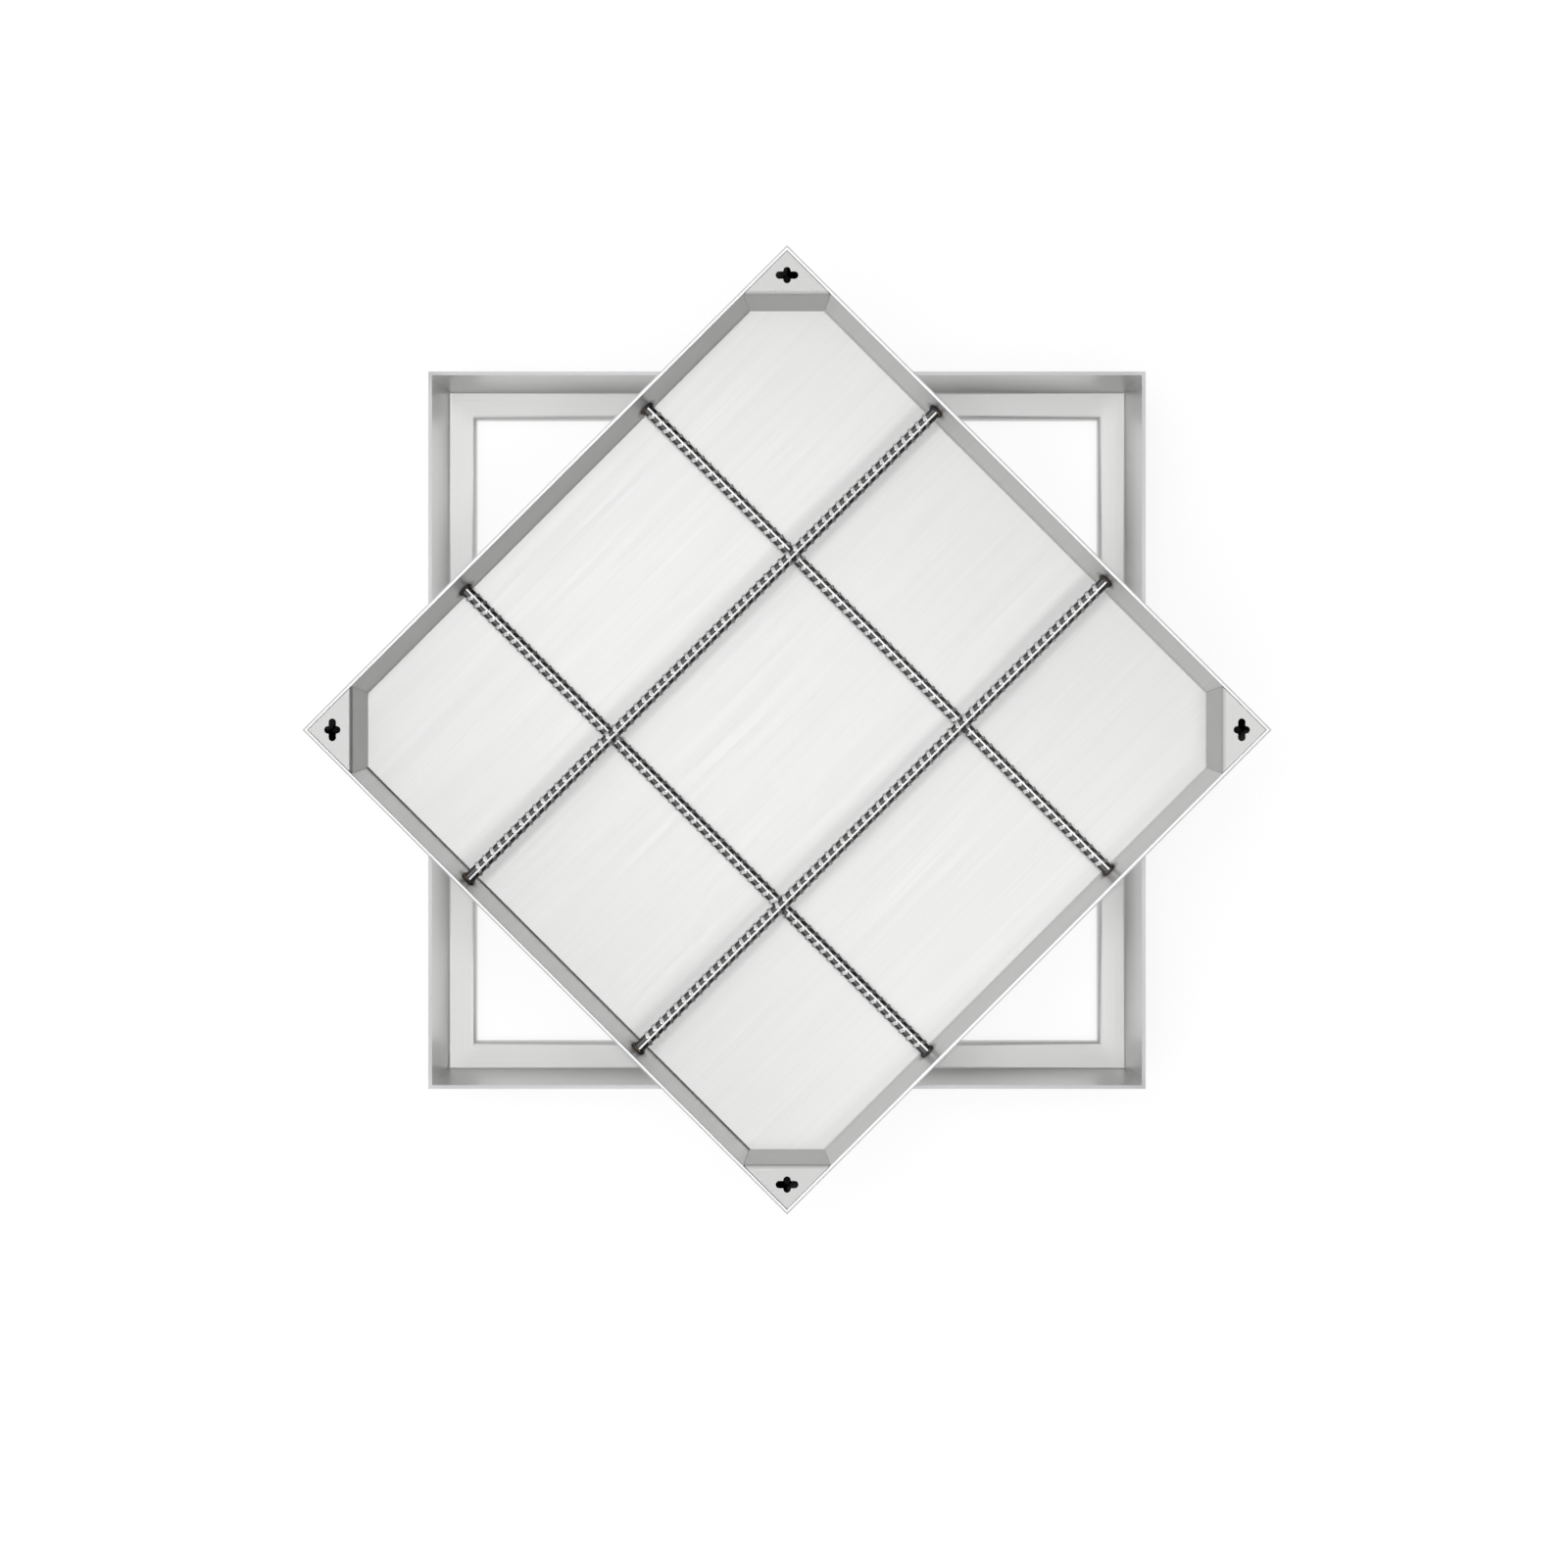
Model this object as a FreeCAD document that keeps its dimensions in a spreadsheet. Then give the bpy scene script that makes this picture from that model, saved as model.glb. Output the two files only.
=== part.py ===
"""Recessed access cover and frame in folded stainless sheet, in millimetres.

The frame lies square to X and Y with its turned-down lip on z = 0. The tray has been lifted out of its seat,
turned about Z and laid on the frame's rim. The origin is the middle of the frame's underside.
"""
import FreeCAD, Part
import os
import Sketcher

os.makedirs("parts", exist_ok=True)
doc = FreeCAD.newDocument("access_cover")

# Driving dimensions: millimetres, and degrees for the angles
SIZES = (
    ("frame_size", 600, "outside of the frame, across its rim"),
    ("sheet_thickness", 3, "all folded sheet"),
    ("bend_radius", 2, "inside radius of every fold"),
    ("bevel_angle", 15, "lean of the walls and aprons from upright"),
    ("ledge_width", 23.5, "seat for the tray, from wall foot to opening"),
    ("lip_drop", 13, "turned-down lip, from ledge top to its lower edge"),
    ("seat_clearance", 12, "gap all round between the seated tray's rim and the frame's wall"),
    ("tray_depth", 47, "tray height, which is the depth of its seat too"),
    ("tray_angle", 45, "turn of the tray on the frame"),
    ("plate_depth", 41, "lifting plate, from the tray's outer corner to the fold"),
    ("key_setback", 16, "key hole centre behind the fold"),
    ("key_length", 18.7, "key hole across its long pair of lobes"),
    ("key_width", 13.4, "key hole across its short pair of lobes"),
    ("key_lobe", 6, "width of each lobe"),
    ("bar_core", 9.6, "ribbed bar, diameter between the ribs"),
    ("bar_cover", 5.5, "clear height under the lower bars, for the mortar"),
    ("lower_spacing", 214, "lower bars, centre to centre"),
    ("upper_spacing", 200, "upper bars, centre to centre"),
    ("rib_height", 0.8, "cross ribs over the core"),
    ("rib_width", 1.6, "cross ribs, across their own run"),
    ("rib_pitch", 8.5, "cross ribs, along the bar"),
    ("rib_slant", 30, "cross ribs, from square to the bar"),
    ("bare_end", 8, "end of each bar without ribs, where it is welded"),
    ("spine_height", 0.5, "long ribs over the core"),
    ("spine_width", 1.6, "long ribs"),
    ("fit_gap", 0.2, "clearance at welded-in pieces"),
)

sizes = doc.addObject("Spreadsheet::Sheet", "Sizes")
for row, (alias, size, note) in enumerate(SIZES, start=1):
    sizes.set(f"A{row}", alias)
    sizes.set(f"B{row}", str(size))
    sizes.setAlias(f"B{row}", alias)
    sizes.set(f"C{row}", note)
doc.recompute()

# Lengths worked out from the sheet
LEAN = "tan(Sizes.bevel_angle)"
RIM_WIDTH = "Sizes.sheet_thickness / cos(Sizes.bevel_angle)"
OUTER_BEND = "Sizes.bend_radius + Sizes.sheet_thickness"
FRAME_HALF = "Sizes.frame_size / 2"
RIM_Z = "Sizes.lip_drop + Sizes.tray_depth"
LEDGE_UNDER_Z = "Sizes.lip_drop - Sizes.sheet_thickness"
WALL_FOOT = f"{FRAME_HALF} - {RIM_WIDTH} - Sizes.tray_depth * {LEAN}"
OPENING_HALF = f"{WALL_FOOT} - Sizes.ledge_width"
TRAY_HALF = f"({FRAME_HALF} - {RIM_WIDTH} - Sizes.seat_clearance)"
TRAY_CORNER = f"{TRAY_HALF} * sqrt(2)"
INNER_DEPTH = "(Sizes.tray_depth - Sizes.sheet_thickness)"
TRAY_BASE = f"{TRAY_HALF} - Sizes.tray_depth * {LEAN}"
FLOOR_HALF = f"{TRAY_HALF} - {RIM_WIDTH} - {INNER_DEPTH} * {LEAN}"
FOLD_X = f"{TRAY_CORNER} - Sizes.plate_depth"
BAR_RADIUS = "(Sizes.bar_core / 2 + Sizes.spine_height)"


def origin_feature(body, role):
    """One of the body's own base planes or axes."""
    return next(feature for feature in body.Origin.OriginFeatures if feature.Role == role)


def new_sketch(body, name, role, lift=None):
    """An empty sketch on a base plane of the body, raised by an expression if one is given."""
    sketch = body.newObject("Sketcher::SketchObject", name)
    sketch.AttachmentSupport = [(origin_feature(body, role), "")]
    sketch.MapMode = "FlatFace"
    if lift:
        sketch.setExpression("AttachmentOffset.Base.z", lift)
    return sketch


def bind(sketch, constraint, expression):
    """Add a constraint and tie its value to the sheet."""
    index = sketch.addConstraint(constraint)
    sketch.setExpression(f"Constraints[{index}]", expression)


def draw_outline(sketch, corners):
    """A closed outline of straight edges, each corner a pair of expressions."""
    first = sketch.GeometryCount
    count = len(corners)
    start_radius = 100
    starts = []
    for index in range(count):
        turn = FreeCAD.Rotation(FreeCAD.Vector(0, 0, 1), 360 * index / count)
        starts.append(turn.multVec(FreeCAD.Vector(start_radius, 0, 0)))
    for index in range(count):
        sketch.addGeometry(Part.LineSegment(starts[index], starts[(index + 1) % count]), False)
    for index in range(count):
        line, following = first + index, first + (index + 1) % count
        sketch.addConstraint(Sketcher.Constraint("Coincident", line, 2, following, 1))
    for index, (across, along) in enumerate(corners):
        line, start = first + index, starts[index]
        bind(sketch, Sketcher.Constraint("DistanceX", -1, 1, line, 1, start.x), across)
        bind(sketch, Sketcher.Constraint("DistanceY", -1, 1, line, 1, start.y), along)


def add_pad(body, sketch, length, symmetric=False):
    """The sketch raised along its normal, or to both sides of its plane."""
    pad = body.newObject("PartDesign::Pad", f"{sketch.Name}_pad")
    pad.Profile = sketch
    pad.setExpression("Length", length)
    if symmetric:
        pad.SideType = "Symmetric"
    doc.recompute()
    return pad


def add_through_cut(body, sketch):
    """The sketch cut right through the body, to both sides of its plane."""
    before = body.Shape.Volume
    cut = body.newObject("PartDesign::Pocket", f"{sketch.Name}_cut")
    cut.Profile = sketch
    cut.Type = "ThroughAll"
    cut.SideType = "Symmetric"
    doc.recompute()
    if not body.Shape.Volume < before:
        raise RuntimeError(f"{cut.Name} removes nothing")
    return cut


def round_edges(body, name, radius, chosen):
    """Round the edges for which chosen(edge) holds."""
    base = body.Tip
    edges = [f"Edge{number}" for number, edge in enumerate(base.Shape.Edges, start=1) if chosen(edge)]
    fillet = body.newObject("PartDesign::Fillet", name)
    fillet.Base = (base, edges)
    fillet.setExpression("Radius", radius)
    doc.recompute()


def runs_through(point, along):
    """A test for the straight edge that runs along an axis through a point of a section."""
    def test(edge):
        for vertex in edge.Vertexes:
            offset = vertex.Point - point
            if (offset - along * offset.dot(along)).Length > Part.Precision.confusion():
                return False
        return True
    return test


def level_edges(height):
    """A test for the edges that lie level at a height."""
    def test(edge):
        return all(abs(vertex.Point.z - height) < Part.Precision.confusion() for vertex in edge.Vertexes)
    return test


def fold_section(body, sketch, outline, section_axis, inner_corners, outer_corners):
    """Round the folds of a padded sheet section, each given by its corner in the outline."""
    def place(corner):
        return sketch.Placement.multVec(sketch.Geometry[outline.index(corner)].StartPoint)

    folds = (("inner_bend", "Sizes.bend_radius", inner_corners), ("outer_bend", OUTER_BEND, outer_corners))
    for name, radius, corners in folds:
        tests = [runs_through(place(corner), section_axis) for corner in corners]
        round_edges(body, name, radius, lambda edge: any(test(edge) for test in tests))


def turn_about_z(piece, angle, across="0", height="0"):
    """Turn a piece about Z, after moving it sideways along its own Y, and raise it."""
    piece.Placement = FreeCAD.Placement(FreeCAD.Vector(), FreeCAD.Rotation(FreeCAD.Vector(0, 0, 1), 1))
    piece.setExpression("Placement.Rotation.Angle", angle)
    piece.setExpression("Placement.Base.x", f"-({across}) * sin({angle})")
    piece.setExpression("Placement.Base.y", f"({across}) * cos({angle})")
    piece.setExpression("Placement.Base.z", height)


def frame_rail(label, angle):
    """One side of the frame: wall, ledge and lip folded from a strip, and mitred at both ends."""
    body = doc.addObject("PartDesign::Body", label)
    section = new_sketch(body, "rail_section", "YZ_Plane")
    wall_foot = (WALL_FOOT, "Sizes.lip_drop")
    wall_heel = (f"{FRAME_HALF} - (Sizes.tray_depth + Sizes.sheet_thickness) * {LEAN}", LEDGE_UNDER_Z)
    ledge_edge = (OPENING_HALF, "Sizes.lip_drop")
    lip_back = (f"{OPENING_HALF} + Sizes.sheet_thickness", LEDGE_UNDER_Z)
    outline = [
        (FRAME_HALF, RIM_Z),
        (f"{FRAME_HALF} - {RIM_WIDTH}", RIM_Z),
        wall_foot,
        ledge_edge,
        (OPENING_HALF, "0"),
        (f"{OPENING_HALF} + Sizes.sheet_thickness", "0"),
        lip_back,
        wall_heel,
    ]
    draw_outline(section, outline)
    add_pad(body, section, "Sizes.frame_size", symmetric=True)
    along_rail = FreeCAD.Vector(1, 0, 0)
    fold_section(body, section, outline, along_rail, (wall_foot, lip_back), (ledge_edge, wall_heel))

    mitre = new_sketch(body, "mitre", "XY_Plane")
    near, far = f"({OPENING_HALF}) / 2", "Sizes.frame_size"
    for side in ("", "-"):
        draw_outline(mitre, [(f"{side}{near}", near), (f"{side}{far}", near), (f"{side}{far}", far)])
    add_through_cut(body, mitre)
    turn_about_z(body, angle)
    return body


def leaning_block(body, half, depth, lift="0"):
    """A square block on a lifted base, its four sides leaning outwards as they rise."""
    top_half, top = f"{half} + ({depth}) * {LEAN}", f"{lift} + {depth}"
    section = new_sketch(body, "block_section", "YZ_Plane")
    draw_outline(section, [
        (half, lift), (top_half, top), (f"-({top_half})", top), (f"-({half})", lift),
    ])
    add_pad(body, section, f"2 * ({top_half})", symmetric=True)
    ends = new_sketch(body, "block_ends", "XZ_Plane")
    beyond = "Sizes.tray_depth"
    far = f"{top_half} + {beyond}"
    for side in ("", "-"):
        draw_outline(ends, [
            (f"{side}({half} - {beyond} * {LEAN})", f"{lift} - {beyond}"),
            (f"{side}({far})", f"{lift} - {beyond}"),
            (f"{side}({far})", f"{top} + {beyond}"),
            (f"{side}({top_half} + {beyond} * {LEAN})", f"{top} + {beyond}"),
        ])
    add_through_cut(body, ends)


def tray_pan():
    """The tray: floor and four walls folded from one sheet, with the corners welded and ground."""
    body = doc.addObject("PartDesign::Body", "tray_pan")
    leaning_block(body, TRAY_BASE, "Sizes.tray_depth")
    block = body.Tip
    at_rim = level_edges(sizes.tray_depth)
    open_faces = [f"Face{number}" for number, face in enumerate(block.Shape.Faces, start=1)
                  if all(at_rim(edge) for edge in face.Edges)]
    sheet = body.newObject("PartDesign::Thickness", "sheet")
    sheet.Base = (block, open_faces)
    sheet.setExpression("Value", "Sizes.sheet_thickness")
    sheet.Reversed = True
    sheet.Join = "Intersection"
    doc.recompute()
    if not sheet.Shape.Volume < block.Shape.Volume / 2:
        raise RuntimeError("the tray isn't hollow")
    round_edges(body, "outer_bend", OUTER_BEND, level_edges(0))
    round_edges(body, "inner_bend", "Sizes.bend_radius", level_edges(sizes.sheet_thickness))
    turn_about_z(body, "Sizes.tray_angle", height=RIM_Z)
    return body


def tray_room():
    """The space inside the tray, short of its walls and floor by the fit gap, to which welded-in pieces are cut."""
    body = doc.addObject("PartDesign::Body", "tray_room")
    half = f"{FLOOR_HALF} + Sizes.fit_gap * {LEAN} - Sizes.fit_gap / cos(Sizes.bevel_angle)"
    leaning_block(body, half, "Sizes.tray_depth", "Sizes.sheet_thickness + Sizes.fit_gap")
    round_edges(body, "bend", "Sizes.bend_radius", level_edges(sizes.sheet_thickness + sizes.fit_gap))
    turn_about_z(body, "Sizes.tray_angle", height=RIM_Z)
    return body


def cut_to_room(label, piece, room):
    """The part of a piece that lies inside the tray."""
    fitted = doc.addObject("Part::Common", label)
    fitted.Base = piece
    fitted.Tool = room
    doc.recompute()
    return fitted


def draw_slot(sketch, length, width, upright):
    """A slot with round ends about the sketch's origin, along its first axis or its second."""
    reach, radius = f"({length} - {width}) / 2", f"{width} / 2"
    axis = FreeCAD.Vector(0, 1, 0) if upright else FreeCAD.Vector(1, 0, 0)
    side = FreeCAD.Vector(-axis.y, axis.x, 0)
    start_reach, start_radius = 4, 3
    ends = (axis * start_reach, axis * -start_reach)
    for end, outward in zip(ends, (axis, axis * -1)):
        points = (end - side * start_radius, end + outward * start_radius, end + side * start_radius)
        if outward != axis:
            points = points[::-1]
        sketch.addGeometry(Part.Arc(*points), False)
    sketch.addGeometry(Part.LineSegment(ends[0] + side * start_radius, ends[1] + side * start_radius), False)
    sketch.addGeometry(Part.LineSegment(ends[1] - side * start_radius, ends[0] - side * start_radius), False)
    for arc, arc_end, line, line_end in ((0, 2, 2, 1), (2, 2, 1, 1), (1, 2, 3, 1), (3, 2, 0, 1)):
        sketch.addConstraint(Sketcher.Constraint("Tangent", arc, arc_end, line, line_end))
    sketch_axis, measure = (-2, "DistanceY") if upright else (-1, "DistanceX")
    for arc in (0, 1):
        sketch.addConstraint(Sketcher.Constraint("PointOnObject", arc, 3, sketch_axis))
    bind(sketch, Sketcher.Constraint(measure, -1, 1, 0, 3, start_reach), reach)
    bind(sketch, Sketcher.Constraint(measure, 1, 3, -1, 1, start_reach), reach)
    bind(sketch, Sketcher.Constraint("Radius", 0, start_radius), radius)


def corner_plate(label, angle, room):
    """A lifting plate folded down along its base into a sloping apron, with the four-lobed key hole."""
    body = doc.addObject("PartDesign::Body", f"{label}_blank")
    section = new_sketch(body, "plate_section", "XZ_Plane")
    under = INNER_DEPTH
    back = f"{FOLD_X} + {RIM_WIDTH}"
    foot = f"{INNER_DEPTH} * {LEAN}"
    fold_top = (FOLD_X, "Sizes.tray_depth")
    fold_under = (f"{back} - Sizes.sheet_thickness * {LEAN}", under)
    outline = [
        (TRAY_CORNER, "Sizes.tray_depth"),
        fold_top,
        (f"{FOLD_X} - {foot}", "Sizes.sheet_thickness"),
        (f"{back} - {foot}", "Sizes.sheet_thickness"),
        fold_under,
        (TRAY_CORNER, under),
    ]
    draw_outline(section, outline)
    add_pad(body, section, "4 * Sizes.plate_depth", symmetric=True)
    along_fold = FreeCAD.Vector(0, 1, 0)
    fold_section(body, section, outline, along_fold, (fold_under,), (fold_top,))
    for name, length, upright in (("long", "Sizes.key_length", True), ("short", "Sizes.key_width", False)):
        lobes = new_sketch(body, f"key_{name}", "XY_Plane", INNER_DEPTH)
        lobes.setExpression("AttachmentOffset.Base.x", f"{FOLD_X} + Sizes.key_setback")
        draw_slot(lobes, length, "Sizes.key_lobe", upright)
        add_through_cut(body, lobes)
    turn_about_z(body, angle, height=RIM_Z)
    return cut_to_room(label, body, room)


def ribbed_bar():
    """A length of ribbed bar along X: round core, slanting ribs on both flanks, long ribs above and below."""
    body = doc.addObject("PartDesign::Body", "ribbed_bar")
    core_radius = "Sizes.bar_core / 2"
    rib_count = f"floor(2 * ({FLOOR_HALF} - Sizes.bare_end) / Sizes.rib_pitch)"
    ribbed_length = f"{rib_count} * Sizes.rib_pitch"
    flank = f"{core_radius} + Sizes.rib_height"
    crest, shoulder, root = f"{core_radius} / 3", f"{core_radius} * 3 / 5", f"{core_radius} * 3 / 4"
    envelope = new_sketch(body, "rib_envelope", "YZ_Plane")
    draw_outline(envelope, [
        (flank, f"-({crest})"), (flank, crest), (shoulder, root), (f"-({shoulder})", root),
        (f"-({flank})", crest), (f"-({flank})", f"-({crest})"),
        (f"-({shoulder})", f"-({root})"), (shoulder, f"-({root})"),
    ])
    add_pad(body, envelope, ribbed_length, symmetric=True)

    gap = new_sketch(body, "rib_gap", "XY_Plane")
    half_gap = "(Sizes.rib_pitch - Sizes.rib_width / cos(Sizes.rib_slant)) / 2"
    reach = "Sizes.bar_core"
    lean = f"{reach} * tan(Sizes.rib_slant)"
    start = f"-({ribbed_length}) / 2"
    draw_outline(gap, [
        (f"{start} - {half_gap} - {lean}", f"-{reach}"), (f"{start} + {half_gap} - {lean}", f"-{reach}"),
        (f"{start} + {half_gap} + {lean}", reach), (f"{start} - {half_gap} + {lean}", reach),
    ])
    gap_cut = add_through_cut(body, gap)
    gaps = body.newObject("PartDesign::LinearPattern", "rib_gaps")
    gaps.Originals = [gap_cut]
    gaps.Direction = (origin_feature(body, "X_Axis"), [""])
    gaps.setExpression("Length", ribbed_length)
    gaps.setExpression("Occurrences", f"{rib_count} + 1")
    body.Tip = gaps
    doc.recompute()

    core = new_sketch(body, "core", "YZ_Plane")
    core.addGeometry(Part.Circle(FreeCAD.Vector(), FreeCAD.Vector(0, 0, 1), 1), False)
    core.addConstraint(Sketcher.Constraint("Coincident", 0, 3, -1, 1))
    bind(core, Sketcher.Constraint("Radius", 0, 1), core_radius)
    add_pad(body, core, f"2 * {TRAY_HALF}", symmetric=True)
    spine = new_sketch(body, "spine", "YZ_Plane")
    half, top = "Sizes.spine_width / 2", BAR_RADIUS
    draw_outline(spine, [(half, top), (f"-{half}", top), (f"-{half}", f"-{top}"), (half, f"-{top}")])
    add_pad(body, spine, f"2 * {TRAY_HALF}", symmetric=True)
    return body


def welded_bar(label, bar, angle, across, height, room):
    """A ribbed bar laid across the tray and cut to meet the walls at both ends."""
    laid = doc.addObject("App::Link", f"{label}_length")
    laid.LinkedObject = bar
    laid.LinkTransform = False
    turn_about_z(laid, angle, across, height)
    return cut_to_room(label, laid, room)


pieces = []
for quarter, side in enumerate(("north", "west", "south", "east")):
    pieces.append(frame_rail(f"frame_rail_{side}", f"{90 * quarter}"))

pieces.append(tray_pan())
room = tray_room()
for quarter, side in enumerate(("north", "west", "south", "east")):
    pieces.append(corner_plate(f"corner_plate_{side}", f"Sizes.tray_angle + 45 + {90 * quarter}", room))

bar = ribbed_bar()
lower_z = f"{RIM_Z} + Sizes.sheet_thickness + Sizes.bar_cover + {BAR_RADIUS}"
upper_z = f"{lower_z} + 2 * {BAR_RADIUS} + Sizes.fit_gap"
layers = (
    ("lower_bar", "Sizes.tray_angle + 90", "Sizes.lower_spacing / 2", lower_z),
    ("upper_bar", "Sizes.tray_angle", "Sizes.upper_spacing / 2", upper_z),
)
for name, angle, offset, height in layers:
    for number, across in enumerate((offset, f"-{offset}"), start=1):
        pieces.append(welded_bar(f"{name}_{number}", bar, angle, across, height, room))

doc.recompute()
for item in doc.Objects:
    if "Invalid" in item.State or "Error" in item.State:
        raise RuntimeError(f"{item.Name} failed: {item.State}")
for piece in pieces:
    if piece.Shape.isNull() or not piece.Shape.isValid() or len(piece.Shape.Solids) != 1:
        raise RuntimeError(f"{piece.Label} isn't one sound solid")
for piece in pieces:
    piece.Shape.exportStep(f"parts/{piece.Label}.step")
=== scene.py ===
"""A recessed steel access cover: its tray is lifted out of the frame, turned cornerwise and laid on the rim."""

import math

import bpy
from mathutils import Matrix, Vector


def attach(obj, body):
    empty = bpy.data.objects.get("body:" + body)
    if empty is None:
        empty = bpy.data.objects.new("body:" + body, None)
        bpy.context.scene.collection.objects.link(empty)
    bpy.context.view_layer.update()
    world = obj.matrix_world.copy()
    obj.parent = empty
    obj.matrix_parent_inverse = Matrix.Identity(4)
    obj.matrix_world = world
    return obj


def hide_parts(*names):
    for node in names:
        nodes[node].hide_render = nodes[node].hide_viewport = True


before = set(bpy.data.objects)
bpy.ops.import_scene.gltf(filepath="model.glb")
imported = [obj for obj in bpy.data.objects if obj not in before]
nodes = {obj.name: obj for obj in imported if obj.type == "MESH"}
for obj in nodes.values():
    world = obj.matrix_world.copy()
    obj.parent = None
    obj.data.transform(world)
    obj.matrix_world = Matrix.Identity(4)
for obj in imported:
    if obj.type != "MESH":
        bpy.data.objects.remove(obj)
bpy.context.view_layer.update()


# The frame: four rails folded from 3 mm stainless strip, each with a leaning wall, a ledge for the tray and a
# lip that hangs in the shaft. They are mitred, welded and ground flush, and the grain follows each rail.
def pick(kind, parts, wanted):
    """Go into edit mode on the active piece with only the wanted faces, edges or points selected."""
    piece = bpy.context.active_object
    bpy.ops.object.mode_set(mode="EDIT")
    bpy.ops.mesh.select_mode(type=kind)
    bpy.ops.mesh.select_all(action="DESELECT")
    bpy.ops.object.mode_set(mode="OBJECT")
    for part in getattr(piece.data, parts):
        part.select = wanted(part)
    bpy.ops.object.mode_set(mode="EDIT")


def eased_sheet(node, easing):
    """A folded sheet piece with its cut edges eased, apart from the mitres, standing where its node stands."""
    piece = bpy.data.objects.new(f"{node}_sheet", nodes[node].data.copy())
    bpy.context.collection.objects.link(piece)
    bpy.ops.object.select_all(action="DESELECT")
    piece.select_set(True)
    bpy.context.view_layer.objects.active = piece
    bpy.ops.mesh.customdata_custom_splitnormals_clear()
    bpy.ops.object.mode_set(mode="EDIT")
    bpy.ops.mesh.select_all(action="SELECT")
    bpy.ops.mesh.remove_doubles(threshold=0.000001)
    bpy.ops.mesh.dissolve_limited(angle_limit=math.radians(1))
    bpy.ops.mesh.select_mode(type="EDGE")
    bpy.ops.mesh.select_all(action="DESELECT")
    bpy.ops.mesh.edges_select_sharp(sharpness=math.radians(40))
    bpy.ops.object.mode_set(mode="OBJECT")
    mitred = {point.index for point in piece.data.vertices if abs(abs(point.co.x) - abs(point.co.y)) < 0.00001}
    sharp = {edge.index for edge in piece.data.edges if edge.select and not mitred.issuperset(edge.vertices)}
    pick("EDGE", "edges", lambda edge: edge.index in sharp)
    bpy.ops.mesh.bevel(offset=easing, segments=2, affect="EDGES")
    bpy.ops.object.mode_set(mode="OBJECT")
    bpy.ops.object.shade_smooth_by_angle(angle=math.radians(30))
    flats = piece.modifiers.new("true_flats", "WEIGHTED_NORMAL")
    flats.weight = 100
    flats.keep_sharp = True
    bpy.ops.object.modifier_apply(modifier=flats.name)
    piece.data.materials.clear()
    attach(piece, "root")
    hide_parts(node)
    return piece


def new_steel(name, anisotropy):
    """A bare metal material, with its node tree, its shader and the place on the object."""
    material = bpy.data.materials.new(name)
    material.use_nodes = True
    shader = material.node_tree.nodes["Principled BSDF"]
    shader.inputs["Metallic"].default_value = 1
    shader.inputs["Anisotropic"].default_value = anisotropy
    place = material.node_tree.nodes.new("ShaderNodeTexCoord")
    return material, material.node_tree, shader, place.outputs["Object"]


def noise_along(tree, vector, scale, detail):
    """Noise stretched by a scale along each axis."""
    stretched = tree.nodes.new("ShaderNodeMapping")
    stretched.inputs["Scale"].default_value = scale
    tree.links.new(vector, stretched.inputs["Vector"])
    noise = tree.nodes.new("ShaderNodeTexNoise")
    noise.inputs["Scale"].default_value = 1
    noise.inputs["Detail"].default_value = detail
    tree.links.new(stretched.outputs["Vector"], noise.inputs["Vector"])
    return noise.outputs["Fac"]


def mixed(tree, kind, share, first, second):
    """A mix of two values, two vectors or two colours, each a socket or written out."""
    mix = tree.nodes.new("ShaderNodeMix")
    mix.data_type = kind
    tree.links.new(share, mix.inputs["Factor"])
    ends = [socket for socket in mix.inputs if socket.enabled and socket.name in ("A", "B")]
    for socket, value in zip(ends, (first, second)):
        if isinstance(value, bpy.types.NodeSocket):
            tree.links.new(value, socket)
        else:
            socket.default_value = value
    return next(socket for socket in mix.outputs if socket.enabled)


def ramp(tree, value, low, high, to_low, to_high):
    """A value brought smoothly from one range to another, and held at both ends."""
    stretch = tree.nodes.new("ShaderNodeMapRange")
    stretch.interpolation_type = "SMOOTHSTEP"
    for name, number in (("From Min", low), ("From Max", high), ("To Min", to_low), ("To Max", to_high)):
        stretch.inputs[name].default_value = number
    tree.links.new(value, stretch.inputs["Value"])
    return stretch.outputs["Result"]


def combined(tree, operation, first, second):
    """One value worked out from two."""
    maths = tree.nodes.new("ShaderNodeMath")
    maths.operation = operation
    tree.links.new(first, maths.inputs[0])
    tree.links.new(second, maths.inputs[1])
    return maths.outputs["Value"]


def unsigned(tree, vector):
    """A vector with its signs dropped."""
    drop = tree.nodes.new("ShaderNodeVectorMath")
    drop.operation = "ABSOLUTE"
    tree.links.new(vector, drop.inputs[0])
    return drop.outputs["Vector"]


def xyz(tree, vector):
    """The three parts of a vector."""
    parts = tree.nodes.new("ShaderNodeSeparateXYZ")
    tree.links.new(vector, parts.inputs["Vector"])
    return parts.outputs


def toned(tree, share, colour, darkest, lightest):
    """A colour that goes darker and lighter with the grain."""
    tone = tree.nodes.new("ShaderNodeValToRGB")
    for element, position, level in zip(tone.color_ramp.elements, (0.3, 0.7), (darkest, lightest)):
        element.position = position
        element.color = (*(level * part for part in colour), 1)
    tree.links.new(share, tone.inputs["Fac"])
    return tone.outputs["Color"]


def brush(tree, shader, hair, tone, roughness, across):
    """Brush a steel: fine hair lines in relief, and gloss drawn out across them."""
    relief = tree.nodes.new("ShaderNodeBump")
    relief.inputs["Strength"].default_value = 0.1
    relief.inputs["Distance"].default_value = 0.0001
    tree.links.new(hair, relief.inputs["Height"])
    tree.links.new(relief.outputs["Normal"], shader.inputs["Normal"])
    tree.links.new(tone, shader.inputs["Base Color"])
    tree.links.new(roughness, shader.inputs["Roughness"])
    tree.links.new(across, shader.inputs["Tangent"])


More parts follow.
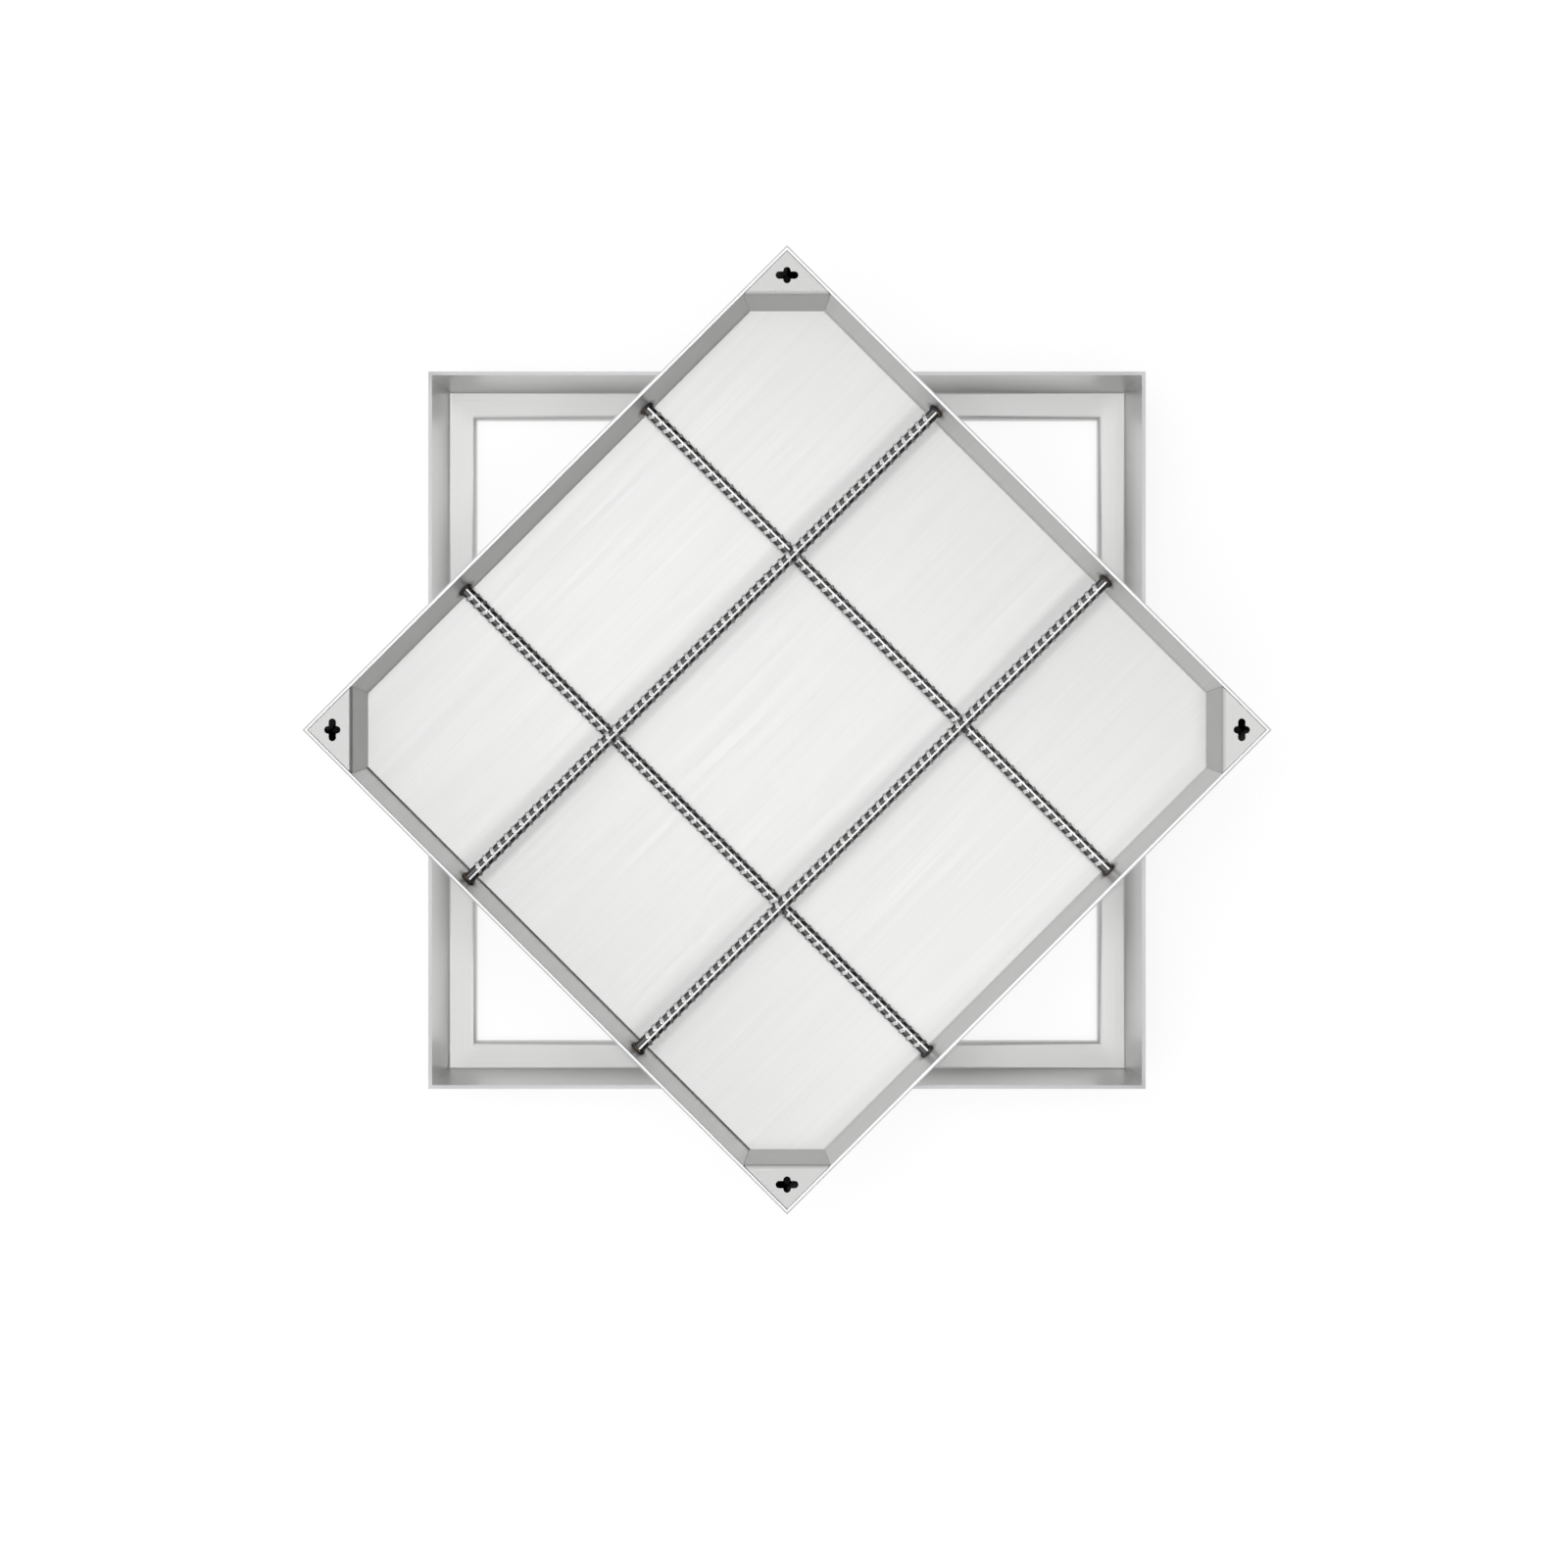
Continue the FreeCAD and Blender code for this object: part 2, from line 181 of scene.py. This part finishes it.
rail_steel, tree, steel, place = new_steel("rail_steel", 0.5)
# The north and south rails get the darker of these two tones: painted shade on the same steel as the east and west
# rails.
side_tone, painted_shade_end_tone = (0.75, 0.75, 0.745), (0.69, 0.69, 0.685)
# Painted edge shade: a darker blue grey painted along the top edge of each rail and the outer edge of the tray
# rim.
painted_edge_shade_tone = (0.56, 0.56, 0.575, 1)
rail_top = 0.06
rim_band = (0.0006, 0.0003)
mitre_blend = 0.02
hair_along, hair_across = 20, 2400
band_along, band_across = 7, 520
rim_hair, rim_roughness = 0.5, 0.3
rail_easing = 0.0005

reach = xyz(tree, unsigned(tree, place))
lead = combined(tree, "SUBTRACT", reach["X"], reach["Y"])
on_side = ramp(tree, lead, -mitre_blend, mitre_blend, 0, 1)
at_rim = ramp(tree, reach["Z"], *(rail_top - depth for depth in rim_band), 0, 1)
hair = mixed(tree, "FLOAT", on_side, noise_along(tree, place, (hair_along, hair_across, hair_across), 2),
             noise_along(tree, place, (hair_across, hair_along, hair_across), 2))
band = mixed(tree, "FLOAT", on_side, noise_along(tree, place, (band_along, band_across, band_across), 3),
             noise_along(tree, place, (band_across, band_along, band_across), 3))
across = mixed(tree, "VECTOR", on_side, (0, 1, 0), (1, 0, 0))
marks = ramp(tree, band, 0.3, 0.7, 0.35, 0.39)
# The darker tone on the north and south rails is painted shade.
tone = mixed(tree, "RGBA", on_side, *(toned(tree, band, part, 0.97, 1.015) for part in (painted_shade_end_tone, side_tone)))
# The top edge of each rail is painted with that darker grey: painted edge shade.
tone = mixed(tree, "RGBA", at_rim, tone, painted_edge_shade_tone)
hair = mixed(tree, "FLOAT", at_rim, hair, rim_hair)
brush(tree, steel, hair, tone, mixed(tree, "FLOAT", at_rim, marks, rim_roughness), across)
for side in ("north", "west", "south", "east"):
    rail = eased_sheet(f"frame_rail_{side}", rail_easing)
    rail.data.materials.append(rail_steel)


# The tray: floor and four leaning walls folded from one sheet, whose grain runs along two of the walls and up the
# other two. The rim is ground, with a painted highlight along its inner part and painted edge shade along its
# outer edge; each weld has left its heat inside, and the pockets at the corners are painted near black as painted
# shade.
tray_turn = math.radians(45)
tray_tone = (0.75, 0.75, 0.745)
heat_tone = (0.3, 0.26, 0.23, 1)
# Painted shade: near black painted in the closed pockets under the corner plates.
pocket_painted_shade_tone = (0.02, 0.02, 0.02, 1)
# Painted highlight: the inner part of the rim is painted near white, lighter than ground steel.
painted_rim_highlight_tone = (0.92, 0.92, 0.92, 1)
tray_top = 0.107
rim_inner, rim_outer = 0.2832, 0.2842
pocket_start = 0.352
heat_reach = (0.0065, 0.012)
weld_places = ((0.107, 0.2729, 0.0738), (0.2758, 0.1, 0.0846))
tray_easing = 0.0005


def larger(tree, vector):
    """How far out a place is, along X or along Y, whichever is more."""
    outward = xyz(tree, unsigned(tree, vector))
    return combined(tree, "MAXIMUM", outward["X"], outward["Y"])


def up(tree):
    """How far a surface faces up."""
    facing = tree.nodes.new("ShaderNodeNewGeometry")
    return xyz(tree, facing.outputs["Normal"])["Z"]


def heading(tree, x, y):
    """A fixed level direction."""
    arrow = tree.nodes.new("ShaderNodeCombineXYZ")
    arrow.inputs["X"].default_value = x
    arrow.inputs["Y"].default_value = y
    return arrow.outputs["Vector"]


tray_steel, tree, steel, place = new_steel("tray_steel", 0.85)
turned = tree.nodes.new("ShaderNodeMapping")
turned.inputs["Rotation"].default_value = (0, 0, -tray_turn)
tree.links.new(place, turned.inputs["Vector"])
sheet_place = turned.outputs["Vector"]
hair = noise_along(tree, sheet_place, (hair_along, hair_across, hair_along), 2)
band = noise_along(tree, sheet_place, (9, 420, 9), 4)
reach = unsigned(tree, sheet_place)
gaps = []
for weld_place in weld_places:
    gap = tree.nodes.new("ShaderNodeVectorMath")
    gap.operation = "DISTANCE"
    gap.inputs[1].default_value = weld_place
    tree.links.new(reach, gap.inputs[0])
    gaps.append(gap.outputs["Value"])
near_weld = ramp(tree, combined(tree, "MINIMUM", *gaps), *heat_reach, 0.75, 0)
heated = combined(tree, "MULTIPLY", near_weld, ramp(tree, up(tree), 0, 0.1, 0, 1))
at_rim = ramp(tree, xyz(tree, place)["Z"], *(tray_top - depth for depth in rim_band), 0, 1)
marks = ramp(tree, noise_along(tree, sheet_place, (8, 300, 8), 3), 0.3, 0.7, 0.36, 0.38)
tone = mixed(tree, "RGBA", heated, toned(tree, band, tray_tone, 0.975, 1.012), heat_tone)
# The pockets under the corner plates are painted near black: painted shade where the plates keep the light out.
in_corner = ramp(tree, larger(tree, place), pocket_start, pocket_start + 0.002, 0, 1)
painted_shade_in_pocket = combined(tree, "MULTIPLY", in_corner, ramp(tree, up(tree), 0.5, 0.6, 0, 1))
tone = mixed(tree, "RGBA", painted_shade_in_pocket, tone, pocket_painted_shade_tone)
# The inner part of the rim is painted near white, a painted highlight, and its outer edge the darker grey, painted
# edge shade.
at_outside = ramp(tree, larger(tree, sheet_place), rim_inner, rim_outer, 0, 1)
tone = mixed(tree, "RGBA", at_rim, tone, mixed(tree, "RGBA", at_outside, painted_rim_highlight_tone, painted_edge_shade_tone))
hair = mixed(tree, "FLOAT", at_rim, hair, rim_hair)
brush(tree, steel, hair, tone, marks, heading(tree, -math.sin(tray_turn), math.cos(tray_turn)))
tray = eased_sheet("tray_pan", tray_easing)
tray.data.materials.append(tray_steel)


# The corner plates: folded sheet let into each corner of the tray and welded, with a four-lobed hole for the
# lifting key. They are brushed along the fold.
plate_tone = (0.66, 0.66, 0.655)
plate_easing = 0.0003
plate_grain = {"north": (hair_along, hair_across, hair_across), "west": (hair_across, hair_along, hair_across)}
plate_grain["south"], plate_grain["east"] = plate_grain["north"], plate_grain["west"]
for side, grain in plate_grain.items():
    plate_steel, tree, steel, place = new_steel(f"plate_steel_{side}", 0.6)
    hair = noise_along(tree, place, grain, 2)
    band = noise_along(tree, place, [0.3 * part for part in grain], 3)
    marks = ramp(tree, band, 0.3, 0.7, 0.33, 0.38)
    across = heading(tree, float(grain[0] > grain[1]), float(grain[0] < grain[1]))
    brush(tree, steel, hair, toned(tree, band, plate_tone, 0.95, 1.02), marks, across)
    plate = eased_sheet(f"corner_plate_{side}", plate_easing)
    plate.data.materials.append(plate_steel)


# The bars: rolled ribbed bar, two lengths laid over two and cut to meet the leaning walls. The hollows keep the
# dull skin of the rolling, and the ribs and the two long spines are worn bright. The upward top of the core is
# painted lighter than its flanks, a painted highlight.
core_radius = 0.0048
stock_length = 0.6
spine_height = 0.0005
spine_taper = 0.9
bar_roll = math.radians(10)
rib_height = 0.0008
rib_radius = 0.00085
rib_spread, rib_sink = 2.7, 0.93
rib_end = 0.0008
rib_slant = math.radians(30)
rib_pitch = 0.0085
rib_count = 63
bar_grit = (420, 420, 420)
skin_tone = (0.1, 0.1, 0.103)
# Painted highlight: the lighter tone painted on the upward top of the core.
painted_highlight_tone = (0.2, 0.2, 0.2)
rib_tone = (0.72, 0.72, 0.715)
spine_tone = (0.84, 0.84, 0.835)

worn = {}
for name, tone in (("bar_rib_steel", rib_tone), ("bar_spine_steel", spine_tone)):
    worn[name], tree, steel, place = new_steel(name, 0)
    skin = noise_along(tree, place, bar_grit, 3)
    tree.links.new(toned(tree, skin, tone, 0.85, 1.05), steel.inputs["Base Color"])
    tree.links.new(ramp(tree, skin, 0.3, 0.7, 0.18, 0.3), steel.inputs["Roughness"])

core_steel, tree, steel, place = new_steel("bar_core_steel", 0)
skin = noise_along(tree, place, bar_grit, 3)
# The upward-facing top of the core is painted lighter than its flanks: a painted highlight.
painted_top_highlight = ramp(tree, up(tree), 0.84, 0.95, 0, 1)
tone = mixed(tree, "RGBA", painted_top_highlight, toned(tree, skin, skin_tone, 0.7, 1.2),
             toned(tree, skin, painted_highlight_tone, 0.85, 1.05))
tree.links.new(tone, steel.inputs["Base Color"])
tree.links.new(ramp(tree, skin, 0.3, 0.7, 0.2, 0.35), steel.inputs["Roughness"])

bpy.ops.mesh.primitive_cylinder_add(vertices=18, radius=core_radius, depth=stock_length,
                                    rotation=(0, math.pi / 2, 0))
bar = bpy.context.active_object
bpy.ops.object.transform_apply(location=False, rotation=True, scale=False)
for way in (1, -1):
    pick("FACE", "polygons", lambda face: way * face.normal.z > 0.99)
    bpy.ops.mesh.extrude_region_move(TRANSFORM_OT_translate={"value": (0, 0, way * spine_height)})
    bpy.ops.transform.resize(value=(1, spine_taper, 1), center_override=(0, 0, 0))
    bpy.ops.object.mode_set(mode="OBJECT")
bar.data.materials.append(core_steel)
bar.data.materials.append(worn["bar_spine_steel"])
for face in bar.data.polygons:
    face.material_index = int(abs(face.center.z) > core_radius)

bpy.ops.mesh.primitive_torus_add(major_radius=core_radius + rib_height - rib_radius, minor_radius=rib_radius,
                                 major_segments=20, minor_segments=6, rotation=(0, math.pi / 2, 0))
ribs = bpy.context.active_object
bpy.ops.object.transform_apply(location=False, rotation=True, scale=False)
bpy.ops.object.mode_set(mode="EDIT")
bpy.ops.mesh.select_all(action="SELECT")
bpy.ops.mesh.bisect(plane_co=(0, rib_end, 0), plane_no=(0, 1, 0), use_fill=True, clear_inner=True)
bpy.ops.mesh.select_all(action="SELECT")
bpy.ops.transform.resize(value=(rib_spread, 1 / math.cos(rib_slant), rib_sink), center_override=(0, 0, 0))
bpy.ops.object.mode_set(mode="OBJECT")
ribs.rotation_euler = (0, 0, -rib_slant)
bpy.ops.object.transform_apply(location=False, rotation=True, scale=False)
bpy.ops.object.mode_set(mode="EDIT")
bpy.ops.mesh.select_all(action="SELECT")
bpy.ops.mesh.duplicate()
bpy.ops.transform.rotate(value=math.pi, orient_axis="Z", center_override=(0, 0, 0))
bpy.ops.object.mode_set(mode="OBJECT")
ribs.data.materials.append(worn["bar_rib_steel"])
ribs.location = (-(rib_count - 1) / 2 * rib_pitch, 0, 0)
bpy.ops.object.transform_apply(location=True, rotation=False, scale=False)
row = ribs.modifiers.new("row_of_ribs", "ARRAY")
row.count = rib_count
row.use_relative_offset = False
row.use_constant_offset = True
row.constant_offset_displace = (rib_pitch, 0, 0)
bpy.ops.object.modifier_apply(modifier=row.name)
bar.select_set(True)
bpy.context.view_layer.objects.active = bar
bpy.ops.object.join()


def own_copy(model, name):
    """A copy with its own mesh, selected alone."""
    piece = bpy.data.objects.new(name, model.data.copy())
    bpy.context.collection.objects.link(piece)
    bpy.ops.object.select_all(action="DESELECT")
    piece.select_set(True)
    bpy.context.view_layer.objects.active = piece
    return piece


wall_lean = math.radians(15)
wall_foot, floor_z = 0.2698, 0.063
bar_layers = (("lower_bar", 3 * tray_turn, 0.107, 0.0738), ("upper_bar", tray_turn, 0.1, 0.0846))
for layer, angle, offset, bar_z in bar_layers:
    for number, sideways in ((1, offset), (2, -offset)):
        piece = own_copy(bar, f"{layer}_{number}_ribbed")
        piece.rotation_euler = (bar_roll, 0, 0)
        piece.location = (0, sideways, bar_z)
        bpy.ops.object.transform_apply()
        bpy.ops.object.mode_set(mode="EDIT")
        for way in (1, -1):
            bpy.ops.mesh.select_all(action="SELECT")
            bpy.ops.mesh.bisect(plane_co=(way * wall_foot, 0, floor_z), use_fill=True, clear_outer=True,
                                plane_no=(way * math.cos(wall_lean), 0, -math.sin(wall_lean)))
        bpy.ops.object.mode_set(mode="OBJECT")
        piece.rotation_euler = (0, 0, angle)
        bpy.ops.object.transform_apply()
        bpy.ops.object.shade_smooth_by_angle(angle=math.radians(65))
        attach(piece, "root")
        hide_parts(f"{layer}_{number}")
bpy.data.objects.remove(bar)


# The welds: a bead run round each end of each bar, in short steps, where it meets the wall of the tray. The
# beads are left as they came, dark and coloured by the heat.
bead_radius = 0.0013
bead_stand = 0.0004
bead_sides = 8
step_swell = (1.25, 1.07, 1.07)
straw_tone, blue_tone = (0.16, 0.13, 0.1, 1), (0.06, 0.065, 0.08, 1)
weld_steel, tree, steel, place = new_steel("weld_steel", 0)
colours = ramp(tree, noise_along(tree, place, (160, 160, 160), 3), 0.42, 0.6, 0, 1)
tree.links.new(mixed(tree, "RGBA", colours, blue_tone, straw_tone), steel.inputs["Base Color"])
scale = noise_along(tree, place, (700, 700, 700), 3)
tree.links.new(ramp(tree, scale, 0.3, 0.7, 0.28, 0.5), steel.inputs["Roughness"])

bpy.ops.mesh.primitive_torus_add(major_radius=core_radius + bead_stand, minor_radius=bead_radius,
                                 major_segments=36, minor_segments=bead_sides, rotation=(0, math.pi / 2, 0))
bead = bpy.context.active_object
bpy.ops.object.transform_apply(location=False, rotation=True, scale=False)
pick("VERT", "vertices", lambda point: point.index // bead_sides % 3 == 0)
bpy.ops.transform.resize(value=step_swell, center_override=(0, 0, 0))
bpy.ops.object.mode_set(mode="OBJECT")
rounded = bead.modifiers.new("rounded", "SUBSURF")
rounded.levels = rounded.render_levels = 1
bpy.ops.object.modifier_apply(modifier=rounded.name)
bpy.ops.object.shade_smooth()
bead.data.materials.append(weld_steel)
for layer, angle, offset, bar_z in bar_layers:
    wall_at_bar = wall_foot + (bar_z - floor_z) * math.tan(wall_lean)
    for number, sideways in ((1, offset), (2, -offset)):
        for end, way in (("near", -1), ("far", 1)):
            piece = own_copy(bead, f"{layer}_{number}_{end}_weld")
            piece.rotation_euler = (0, way * wall_lean, 0)
            piece.location = (way * (wall_at_bar - bead_radius / 2), sideways, bar_z)
            bpy.ops.object.transform_apply()
            piece.rotation_euler = (0, 0, angle)
            bpy.ops.object.transform_apply()
            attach(piece, "root")
bpy.data.objects.remove(bead)


# The floor: a plain white sheet just under the frame. It shows white to the eye and in the metal, and still takes
# the cover's shadow.
floor_width, floor_gap = 60, 0.0003
bpy.ops.mesh.primitive_plane_add(size=floor_width, location=(0, 0, -floor_gap))
floor = bpy.context.active_object
floor.name = "floor"
white = bpy.data.materials.new("white_floor")
white.use_nodes = True
tree = white.node_tree
matt = tree.nodes["Principled BSDF"]
matt.inputs["Base Color"].default_value = (0.9, 0.9, 0.9, 1)
matt.inputs["Roughness"].default_value = 0.9
pale = tree.nodes.new("ShaderNodeBsdfDiffuse")
pale.inputs["Color"].default_value = (0.3, 0.3, 0.3, 1)
glow = tree.nodes.new("ShaderNodeEmission")
glow.inputs["Strength"].default_value = 0.8
lit = tree.nodes.new("ShaderNodeAddShader")
tree.links.new(pale.outputs["BSDF"], lit.inputs[0])
tree.links.new(glow.outputs["Emission"], lit.inputs[1])
ray = tree.nodes.new("ShaderNodeLightPath")
seen = combined(tree, "MAXIMUM", ray.outputs["Is Camera Ray"], ray.outputs["Is Glossy Ray"])
seen = combined(tree, "MAXIMUM", seen, ray.outputs["Is Transmission Ray"])
blend = tree.nodes.new("ShaderNodeMixShader")
tree.links.new(seen, blend.inputs["Fac"])
tree.links.new(matt.outputs["BSDF"], blend.inputs[1])
tree.links.new(lit.outputs["Shader"], blend.inputs[2])
tree.links.new(blend.outputs["Shader"], tree.nodes["Material Output"].inputs["Surface"])
floor.data.materials.append(white)


# The light: a soft studio dome, bright on the left, with a bright ring high up on the right and dim below it. A
# small soft lamp hangs high overhead, with two large ones to its left.
dome = bpy.data.worlds.new("studio_dome")
bpy.context.scene.world = dome
dome.use_nodes = True
tree = dome.node_tree
way = tree.nodes.new("ShaderNodeTexCoord")
sky = xyz(tree, way.outputs["Generated"])
left_levels = ((0, 0.3), (0.15, 0.5), (0.3, 0.95), (0.7, 0.95), (0.87, 0.85), (0.95, 0.5), (1, 0.32))
right_levels = ((0, 0.1), (0.74, 0.1), (0.83, 1.4), (0.9, 2.3), (0.95, 0.8), (1, 0.32))
sides = []
for levels in (left_levels, right_levels):
    height = tree.nodes.new("ShaderNodeValToRGB")
    for index, (position, level) in enumerate(levels):
        step = height.color_ramp.elements[index] if index < 2 else height.color_ramp.elements.new(position)
        step.position = position
        step.color = (level, level, level, 1)
    tree.links.new(sky["Z"], height.inputs["Fac"])
    sides.append(height.outputs["Color"])
to_right = ramp(tree, sky["X"], -0.05, 0.3, 0, 1)
tree.links.new(mixed(tree, "RGBA", to_right, *sides), tree.nodes["Background"].inputs["Color"])

lamps = (("top_lamp", (0, 0, 9), 0.8, 18), ("far_left_lamp", (-3, 3, 14), 3.2, 76),
         ("near_left_lamp", (-3, -3, 14), 3.2, 30))
for name, place, width, power in lamps:
    aim = Vector(place).to_track_quat("Z", "Y").to_euler()
    bpy.ops.object.light_add(type="AREA", location=place, rotation=aim)
    lamp = bpy.context.active_object
    lamp.name = name
    lamp.data.shape = "SQUARE"
    lamp.data.size = width
    lamp.data.energy = power


# The camera: straight above and far off through a long lens, with the cover a little above the middle of the
# picture.
bpy.ops.object.camera_add(location=(-0.0025, -0.045, 7.346), rotation=(0, 0, 0))
camera = bpy.context.active_object
camera.data.lens = 200
camera.data.sensor_width = 36
bpy.context.scene.camera = camera
bpy.context.scene.view_settings.view_transform = "Standard"
